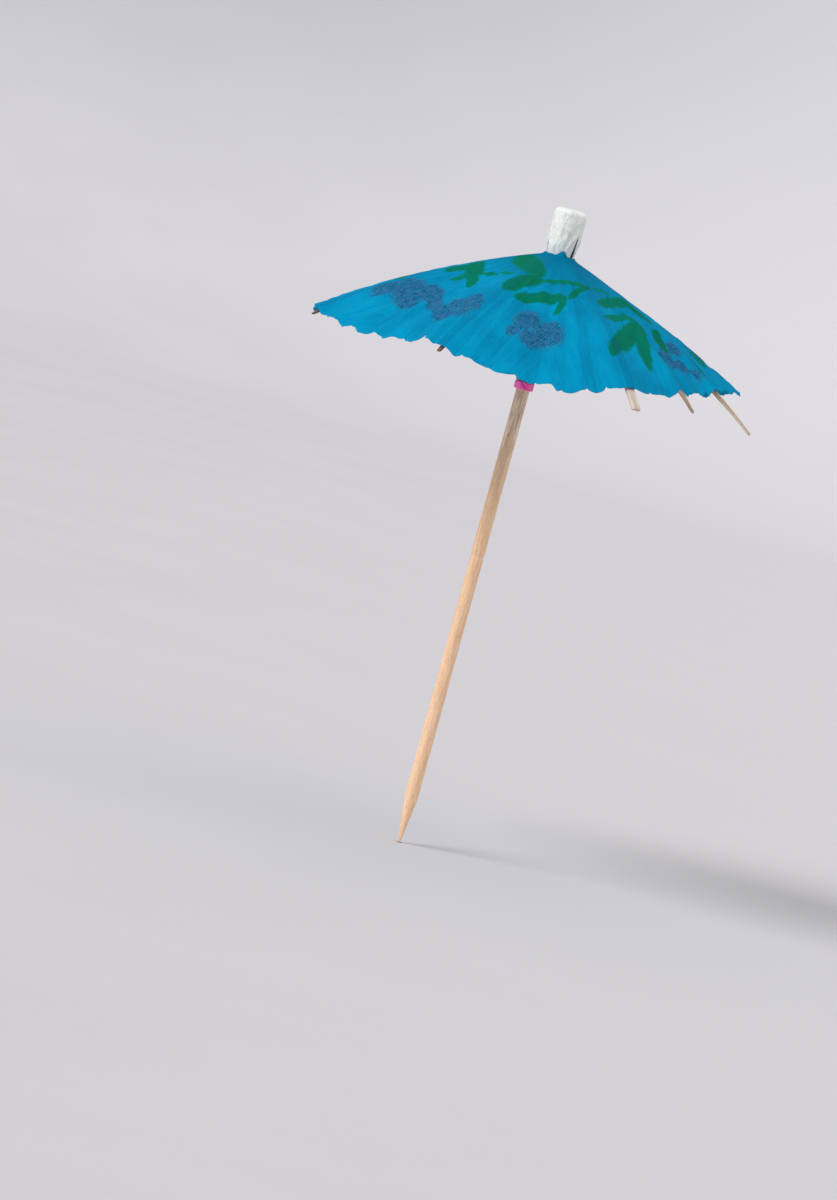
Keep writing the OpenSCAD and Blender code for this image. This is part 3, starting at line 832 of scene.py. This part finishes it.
def twisted_ring(name, radius, z, body, node):
    """Two plies twisted round each other in a ring."""
    u, v, turns = circle(420), circle(8), 46
    points, faces = [], []
    for ply in (0, math.pi):
        twist = u * turns + ply
        middle, ply_r = THREAD_R * 0.46, THREAD_R * 0.54
        r = (radius + middle * np.cos(twist))[:, None] + ply_r * np.cos(v)
        h = (z + middle * np.sin(twist))[:, None] + ply_r * np.sin(v)
        ring, quads = lathe(polar(r, u[:, None], h), close="loop")
        faces += [[i + len(points) * len(ring) for i in (a, d, c, b)] for a, b, c, d in quads]
        points.append(ring)
    obj = new_object(name, np.vstack(points), faces, [thread_cotton], body, "thread")
    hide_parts(node)


twisted_ring("crown_cord", HINGE_R, HINGE_Z, "stick", "crown_thread")
twisted_ring("runner_cord", RUNNER_THREAD_R, RUNNER_Z, "runner", "runner_thread")


def make_strut_pins():
    """Twisted thread pins with a knot at each end."""
    v, half = circle(20), RIB_W / 2 + 0.03
    rows = []
    for y in np.concatenate([[-half - 0.13], np.linspace(-half - 0.12, half + 0.12, 61), [half + 0.13]]):
        in_knot = smooth((abs(y) - half + 0.03) / 0.05)
        end = smooth((half + 0.135 - abs(y)) / 0.06)
        r = 0.105 + 0.012 * np.cos(2 * v + y * 14) + in_knot * (0.075 + 0.012 * np.cos(3 * v + y * 9))
        rows.append(crossways(PIVOT_X, y, PIVOT_Z, r * (0.45 + 0.55 * end), v))
    points, faces = lathe(rows)
    for k in range(RIBS):
        obj = new_object(f"strut_knot_{k + 1}", turned(points, k), faces, [thread_cotton], f"rib_{k + 1}", "thread")
        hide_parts(f"strut_pin_{k + 1}")


make_strut_pins()

# ---- sleeve and ring
RUNNER_H = 2.2
SLEEVE_TOP = RUNNER_Z - RUNNER_H / 2 - 0.03
SLEEVE_L, SLEEVE_BORE_R, SLEEVE_WALL = 6.4, 1.16, 0.5


def make_sleeve():
    """A strip of paper rolled round the pick in a spiral of nearly three turns."""
    turns, t, n = 2.85, 0.135, 190
    a = np.linspace(0, turns * 2 * math.pi, n) + math.radians(-150)
    mid = SLEEVE_BORE_R + t / 2 + (SLEEVE_WALL - 0.01 - t) * np.linspace(0, 1, n)
    levels = np.linspace(0, 1, 22)
    p = polar(mid, a, 0)
    top = SLEEVE_TOP - 0.10 * (1 + rough(p, 0.9, 3)) * 0.8
    low = SLEEVE_TOP - SLEEVE_L + 0.16 * np.abs(rough(p, 0.8, 5)) + 0.25 * np.linspace(1, 0, n) ** 2
    rows = []
    for share in levels:
        z = low + (top - low) * share
        rows.append(polar(mid + t / 2 - 0.012 * (1 + rough(polar(2, a, z * 0.6), 0.8, 6)), a, z))
    rows += [polar(mid - t / 2, a, low + (top - low) * share) for share in levels[::-1]]
    count = len(rows)
    last = (count - 1) * n
    faces = grid_faces(count, n) + [(last + j, last + j + 1, j + 1, j) for j in range(n - 1)]
    faces.append(tuple(i * n for i in range(count)))
    faces.append(tuple(i * n + n - 1 for i in reversed(range(count))))
    points = np.array(rows).reshape(-1, 3)
    obj = new_object("sleeve_roll", points, faces, [sleeve_paper], "runner", "sleeve_paper", sharp=50)
    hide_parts("paper_sleeve")


make_sleeve()

RING_H, RING_T, RING_BORE_R = 1.3, 0.42, 1.15
RING_TOP = SLEEVE_TOP - SLEEVE_L - 0.05


def make_ring():
    """A slice of soft tube, pinched where its two lobes overlap on a slant."""
    u = circle(120)
    rows = []
    for v in circle(40):
        c, s = math.cos(v), math.sin(v)
        square = (abs(c) ** 3.4 + abs(s) ** 3.4) ** (-1 / 3.4)
        x, y = c * square, s * square
        d = angle_from(math.radians(-84) - y * 0.42, u)
        groove = np.exp(-(d / 0.11) ** 2)
        lobe = 0.05 * np.tanh(d / 0.1) * np.exp(-(d / 0.9) ** 2)
        outside = max(0.0, x)
        r = RING_BORE_R + RING_T / 2 + x * RING_T / 2 + outside * (0.05 - 0.2 * groove + 0.6 * lobe)
        z = RING_TOP - RING_H / 2 + y * RING_H / 2 - 0.07 * groove * y + 0.05 * lobe * 4 * (1 if y > 0 else 0.3)
        r = r - outside * 0.02 * (1 + rough(polar(2, u, z), 0.9, 1))
        rows.append(polar(r, u, np.clip(z, RING_TOP - RING_H, RING_TOP)))
    points, faces = lathe(rows[::-1], close="loop")
    obj = new_object("ring_soft", points, faces, [ring_plastic], "ring", "ring_plastic", sharp=80)
    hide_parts("stop_ring")


make_ring()

# ---- ribs and struts
# A strut's outer tongue ends where strut and rib, folded, are FOLDED_APART from each other
FOLDED_ANGLE = FOLDED_LEAN + PIVOT - (OPEN_LEAN - FOLDED_LEAN)
FOLDED_APART = 0.7
STRUT_TONGUE = BOW_R * (
    math.sin(FOLDED_ANGLE) - math.sqrt(math.sin(FOLDED_ANGLE) ** 2 - 2 * FOLDED_APART / BOW_R))
SLOT_IN, SLOT_OUT, SLOT_W = 0.95, STRUT_TONGUE + 0.1, 0.75
# The tongue at the root of a rib or strut, and a strut's eye
TONGUE_L, TONGUE_W, STRUT_EYE_R = 1.6, 0.6, 0.28
EYE_R, HOLE_R = 0.37, 0.15
# Width and thickness of each rib's tip, and how much it is cut short
TIPS = ((1.0, 0.42, 0.0), (0.62, 0.42, 0.0), (1.3, 0.6, 0.2), (1.2, 0.5, 0.1), (0.7, 0.4, 0.6), (0.7, 0.4, 1.3),
        (1.6, 0.6, 0.0))
BOX_FACES = [(0, 3, 2, 1), (4, 5, 6, 7), (0, 1, 5, 4), (1, 2, 6, 5), (2, 3, 7, 6), (3, 0, 4, 7)]


def bar(x, z, r, levels, k):
    """A tool: a round bar across rib k, with a ring of points at each of its levels."""
    points, faces = lathe([crossways(x, y, z, r, circle(32)) for y in levels])
    return plain_object("tool", turned(points, k), faces)


def pierced(obj, tools):
    """Joins or cuts each tool into obj's mesh, then removes the tools."""
    for tool, way in tools:
        step = obj.modifiers.new("cut", "BOOLEAN")
        step.operation, step.object, step.solver = way, tool, "EXACT"
    bpy.context.view_layer.update()
    done = bpy.data.meshes.new_from_object(obj.evaluated_get(bpy.context.evaluated_depsgraph_get()))
    obj.modifiers.clear()
    obj.data = done
    done.set_sharp_from_angle(angle=math.radians(35))
    for tool, _ in tools:
        bpy.data.objects.remove(tool)


def chipped(y, h, along, depth, shift, seed):
    """A strip's ring of points, across and up, worn in unevenly by up to twice depth as a share."""
    p = np.stack([y * 1.2, h, np.full(len(y), along * 0.16)], axis=1)
    chip = 1 - depth * (1 + rough(p + shift, 0.5, seed))
    return y * chip, h * chip


def grain_uv(y, h, along, shift):
    return np.stack([(y + 2 * h + shift) / GRAIN_SPAN, np.full(len(y), along)], axis=1)


def strip_object(name, k, rows, grain, mat, body, flip):
    """A strip of wood from rows of points in rib 0's plane and the UV of its grain."""
    points, faces = lathe(rows)
    uvs = {"grain": np.vstack(grain + [grain[0][:1], grain[-1][:1]])}
    return new_object(name, turned(points, k), [f[::flip] for f in faces], [mat], body, "rib_card", uvs=uvs, sharp=35)


def make_rib(k):
    """A split strip bowed along its arc, uneven, thinner at its tip, with an eye, a strut slot and a pin hole."""
    wide_tip, thick_tip, short = TIPS[k]
    tip = RIB_ROOT - 2 * math.asin(RIB_L / 2 / BOW_R) + short / BOW_R
    across, up = squared_off(circle(28) + math.pi / 28, 7)
    rows, grain = [], []
    for q in (*np.linspace(tip, tip + 0.2 / BOW_R, 4), *np.linspace(tip + 0.5 / BOW_R, RIB_ROOT, 150)):
        out, back = (q - tip) * BOW_R, (RIB_ROOT - q) * BOW_R
        grow = smooth(out / 9)
        wide = TONGUE_W if back < TONGUE_L else wide_tip + (RIB_W - wide_tip) * grow - 0.04
        thick = thick_tip + (RIB_T - thick_tip) * grow - 0.02
        y, h = chipped(across * wide / 2, up * thick / 2, out, 0.05 * (back > 2.2), k * 7.3, 1)
        y = y * (1 - 0.12 * (1 - smooth(out / 0.3)))
        h = h * (0.62 + 0.38 * smooth(out / 0.22)) + (RIB_T - thick) / 2 * grow
        if back < 0.01:
            h = h * 0.9
        r = BOW_R + h
        rows.append(np.stack([ARC_X + r * math.cos(q), y, ARC_Z + r * math.sin(q)], axis=1))
        grain.append(grain_uv(y, h, out / GRAIN_SPAN, 5 * k))
    mat = {4: rib_dark, 5: rib_dark, 6: rib_pale}.get(k, rib_wood)
    obj = strip_object(f"rib_strip_{k + 1}", k, rows, grain, mat, f"rib_{k + 1}", flip=-1)
    eye = bar(HINGE_R, HINGE_Z, EYE_R, (-0.295, -0.15, 0.15, 0.295), k)
    c, s = math.cos(PIVOT), math.sin(PIVOT)
    corners = ((SLOT_IN, -SLOT_W / 2), (SLOT_IN, SLOT_W / 2), (-SLOT_OUT, SLOT_W / 2), (-SLOT_OUT, -SLOT_W / 2))
    box = [(PIVOT_X - s * a + c * e, b, PIVOT_Z + c * a + s * e) for e in (-RIB_T, RIB_T) for a, b in corners]
    cuts = [plain_object("tool", turned(box, k), BOX_FACES), bar(HINGE_R, HINGE_Z, HOLE_R, (-0.5, 0.5), k),
            bar(PIVOT_X, PIVOT_Z, HOLE_R, (-1.1, 1.1), k)]
    pierced(obj, [(eye, "UNION")] + [(cut, "DIFFERENCE") for cut in cuts])
    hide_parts(f"rib_{k + 1}")


for k in range(RIBS):
    make_rib(k)

STRUT_W, STRUT_T = 1.4, 0.5


def make_strut(k):
    """A flat stretcher: a round-nosed tongue at each end, the outer one with an eye for the thread pin."""
    half = STRUT_T / 2
    along = np.concatenate([
        -STRUT_L - half * np.cos(np.linspace(0.1, math.pi / 2, 7)),
        np.linspace(0.2 - STRUT_L, TONGUE_L - STRUT_L - 0.02, 9),
        np.linspace(TONGUE_L - STRUT_L + 0.02, -STRUT_TONGUE - 0.02, 70),
        np.linspace(-STRUT_TONGUE + 0.02, -0.2, 9), STRUT_EYE_R * np.sin(np.linspace(-0.45, 1.5, 12))])
    across, up = squared_off(circle(24) + math.pi / 24, 7)
    turn = OPEN_LEAN - math.pi / 2
    rows, grain = [], []
    for q in along:
        broad = TONGUE_L - STRUT_L < q < -STRUT_TONGUE
        thick = half - 0.01
        if q < -STRUT_L:
            thick = math.sqrt(max(half**2 - (q + STRUT_L) ** 2, 0.001))
        elif q > -0.13:
            thick = math.sqrt(max(STRUT_EYE_R**2 - q**2, 0.001))
        y = across * ((STRUT_W if broad else TONGUE_W) / 2 - 0.01)
        y, h = chipped(y, up * thick, q, 0.05 if broad else 0.01, k * 3.1, 4)
        rows.append(np.stack([PIVOT_X + q * math.cos(turn) + h * math.sin(turn), y,
                              PIVOT_Z - q * math.sin(turn) + h * math.cos(turn)], axis=1))
        grain.append(grain_uv(y, h, 0.5 + q / GRAIN_SPAN, 3 * k))
    obj = strip_object(f"strut_strip_{k + 1}", k, rows, grain, strut_wood, f"strut_{k + 1}", flip=1)
    pierced(obj, [(bar(PIVOT_X, PIVOT_Z, HOLE_R, (-1.1, 1.1), k), "DIFFERENCE")])
    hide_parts(f"strut_{k + 1}")


for k in range(RIBS):
    make_strut(k)

# ---- the hubs keep their solids' meshes
for hub in ("crown_hub", "runner_hub"):
    bpy.data.objects[hub].material_slots[0].material = hub_wood


# ---- stage and light
def make_stage():
    """One pale bowl: a level floor under the point that curves up all round, far away."""
    flat, radius, high, sides = 1150.0, 520.0, 900.0, 96
    floor_z = -POINT_L - 0.05
    profile = [(0.5, floor_z), (flat / 2, floor_z), (flat, floor_z)]
    for q in np.linspace(0, math.pi / 2, 24)[1:]:
        profile.append((flat + radius * math.sin(q), floor_z + radius * (1 - math.cos(q))))
    profile.append((flat + radius, high))
    points = np.vstack([polar(r, circle(sides), z) for r, z in profile] + [[(0, 0, floor_z)]])
    centre = len(profile) * sides
    faces = grid_faces(len(profile), sides, wrap=True) + [(centre, j, (j + 1) % sides) for j in range(sides)]

    def build(t):
        """Pale grey, with painted shade higher up and painted light towards the right."""
        place = millimetres(t)
        x, _, z = xyz(t, place)
        low_colour = tinted(t, srgb(192, 190, 193), ((195, 193, 196), noise_at(t, place, 0.02), 0.3, 0.7),
                            ((198, 196, 199), x, -200, 160))
        high_colour = tinted(t, srgb(156, 157, 163), ((184, 183, 189), x, -200, 160))
        return put(t, "BsdfDiffuse", {0: mixed(t, band(t, z, 0, 260), low_colour, high_colour)}).outputs[0]

    obj = plain_object("backdrop", points, faces)
    obj.data.polygons.foreach_set("use_smooth", np.ones(len(faces), bool))
    obj.data.materials.append(surface(build, "backdrop_grey"))
    obj.visible_shadow = False  # the low suns shine in over its wall


make_stage()


def sun(name, direction, spread, strength):
    """A wide soft sun that shines from a direction."""
    data = bpy.data.lights.new(name, "SUN")
    data.angle = math.radians(spread)
    data.energy = strength
    obj = bpy.data.objects.new(name, data)
    obj.location = direction
    obj.rotation_euler = (-Vector(direction)).to_track_quat("-Z", "Y").to_euler()
    bpy.context.collection.objects.link(obj)


sun("key", (-0.6, -0.55, 0.63), 24, 2.15)
sun("side", (-0.93, -0.35, 0.04), 30, 0.9)
sun("fill", (0.95, -0.28, 0.25), 45, 0.85)

world = bpy.data.worlds.new("world")
world.use_nodes = True
background = world.node_tree.nodes["Background"]
background.inputs[0].default_value, background.inputs[1].default_value = (1, 1, 1, 1), 0.76
bpy.context.scene.world = world
bpy.context.scene.view_settings.view_transform = "Standard"
